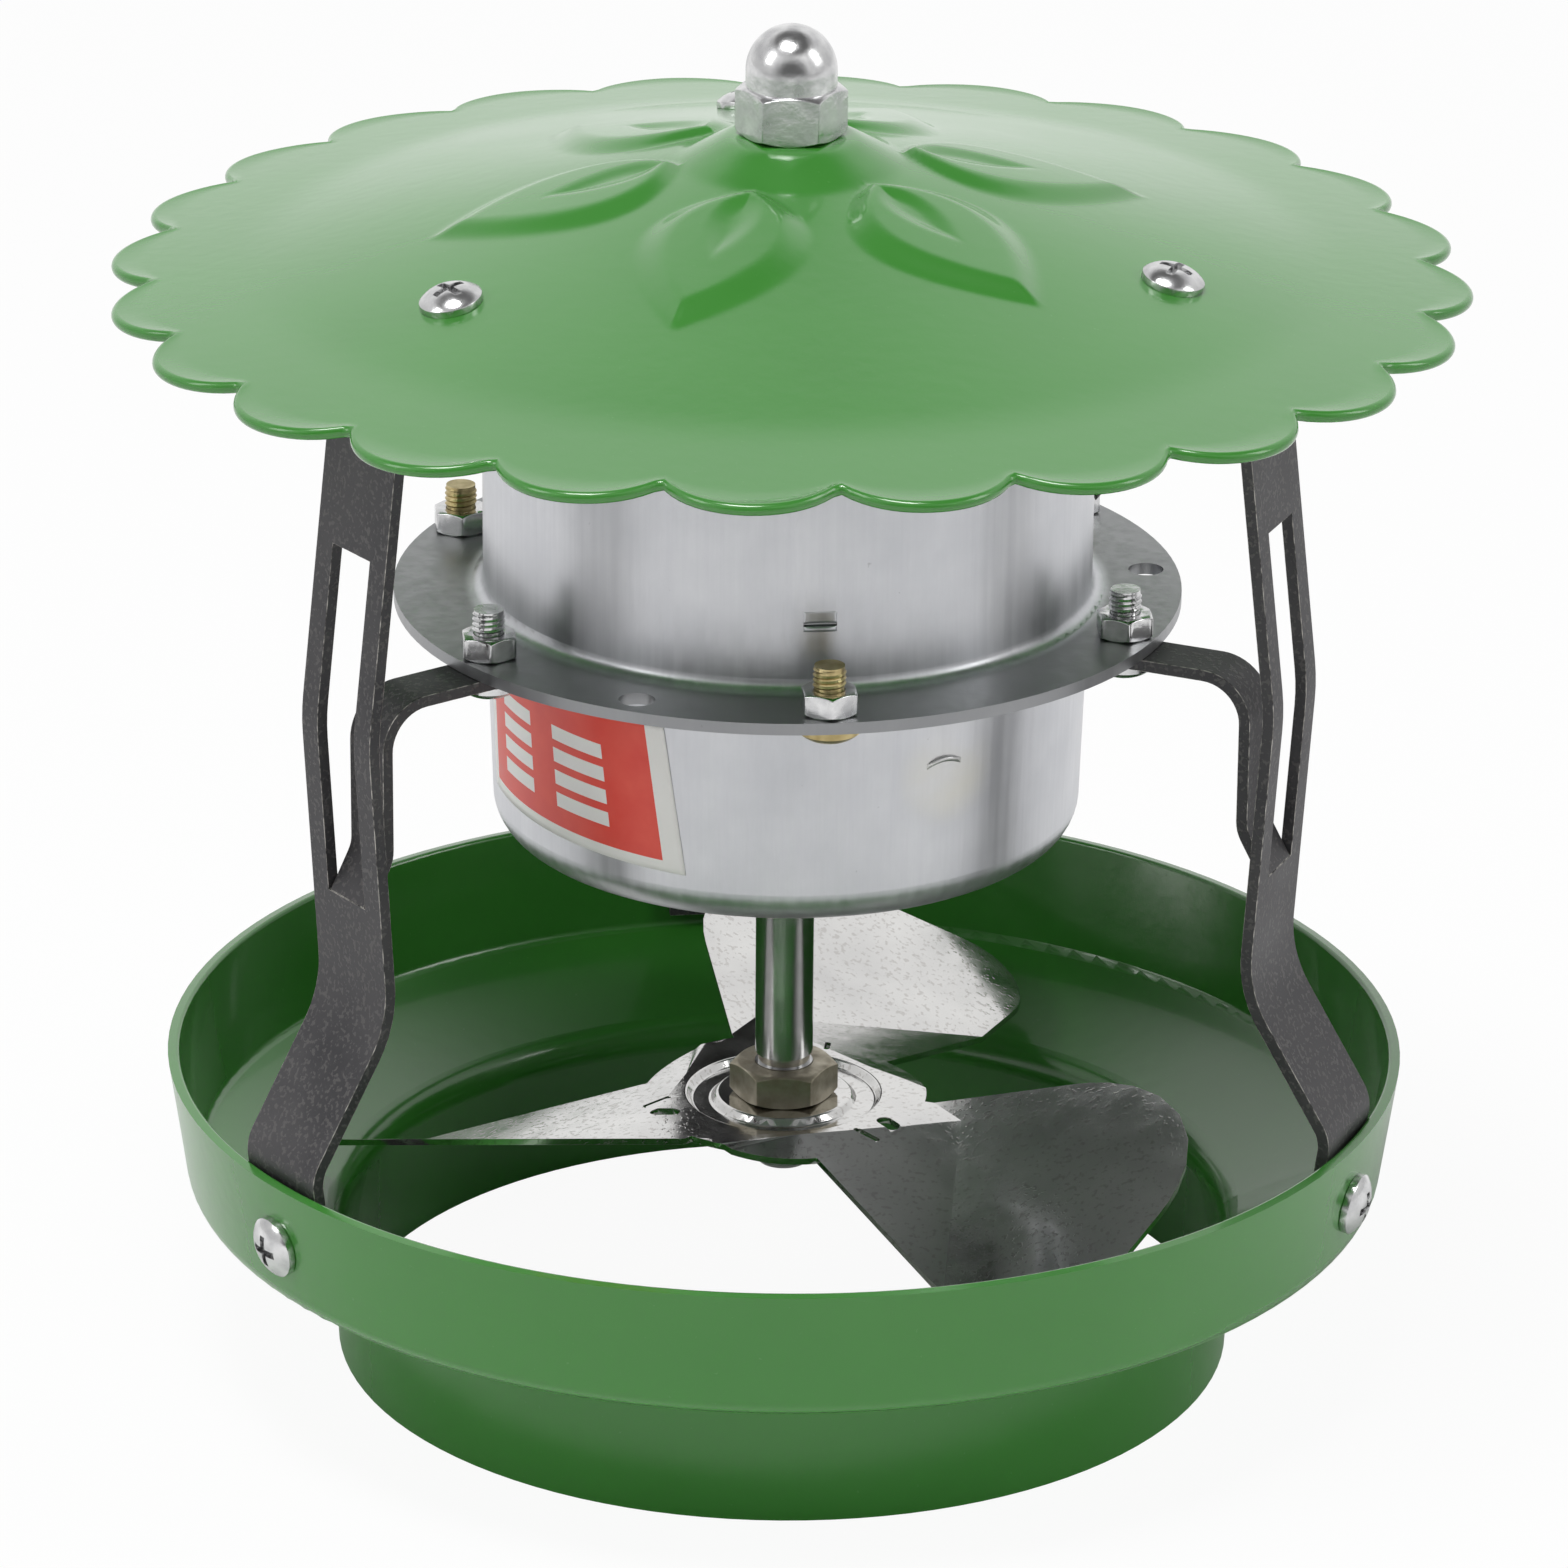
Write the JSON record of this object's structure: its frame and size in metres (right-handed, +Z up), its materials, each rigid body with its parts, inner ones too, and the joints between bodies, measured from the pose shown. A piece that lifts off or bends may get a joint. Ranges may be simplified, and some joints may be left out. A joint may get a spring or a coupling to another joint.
{
  "type": "motorized_chimney_cowl",
  "caption": "Motorized chimney cowl: green flue bowl and scalloped rain cap joined by slotted steel straps around a hanging galvanised fan motor with a stamped aluminium fan",
  "frame": {"origin": "centre of the spigot's bottom edge, where the cowl rests on the flue pipe's collar", "axes": "+Z up along the motor shaft; +X to the viewer's right in the picture; -Y towards the viewer"},
  "size_m": [0.1818, 0.1818, 0.1889],
  "materials": {
    "green_paint": "glossy mid green paint",
    "raw_steel": "dark raw strip steel with worn cut edges",
    "bright_zinc": "bright zinc plate",
    "yellow_zinc": "yellow passivated zinc plate",
    "dull_brass_zinc": "dulled brown passivated zinc",
    "galvanised_sheet": "drawn galvanised sheet with streaks",
    "fan_aluminium": "bright stamped sheet with fine specks",
    "bearing_steel": "ground and polished",
    "lamination_steel": "stacked laminations",
    "copper_winding": "enamelled copper wire",
    "black_rubber": "matte moulded"
  },
  "bodies": {
    "cowl_frame": {"flue_bowl": "green_paint", "rain_cap": "green_paint", "leg_left": "raw_steel", "leg_right": "raw_steel", "leg_rear": "raw_steel", "bowl_screws": "bright_zinc", "cap_screws": "bright_zinc", "cap_screw_nuts": "bright_zinc", "acorn_nut": "bright_zinc", "cap_bolt": "bright_zinc", "cap_bolt_washer": "bright_zinc", "motor_upper_cover": "galvanised_sheet", "motor_lower_cover": "galvanised_sheet", "case_bolts": "yellow_zinc", "case_nuts": "bright_zinc", "leg_bolts": "bright_zinc", "leg_nuts": "bright_zinc", "cable_grommet": "black_rubber", "stator_core": "lamination_steel", "stator_windings": "copper_winding", "lower_bearing_outer": "bearing_steel", "upper_bearing_outer": "bearing_steel", "bearing_balls": "bearing_steel", "wave_washer": "bearing_steel"},
    "fan_rotor": {"motor_shaft": "bearing_steel", "lower_bearing_inner": "bearing_steel", "upper_bearing_inner": "bearing_steel", "bearing_clips": "bearing_steel", "rotor_core": "lamination_steel", "rotor_cage": "fan_aluminium", "fan_impeller": "fan_aluminium", "fan_lock_nut": "dull_brass_zinc", "fan_washer": "bright_zinc", "fan_end_nut": "bright_zinc"}
  },
  "joints": [
    {"name": "fan_spin", "type": "hinge", "parent": "cowl_frame", "child": "fan_rotor", "pos_m": [0, 0, 0.0352], "axis": [0, 0, 1], "continuous": true}
  ]
}
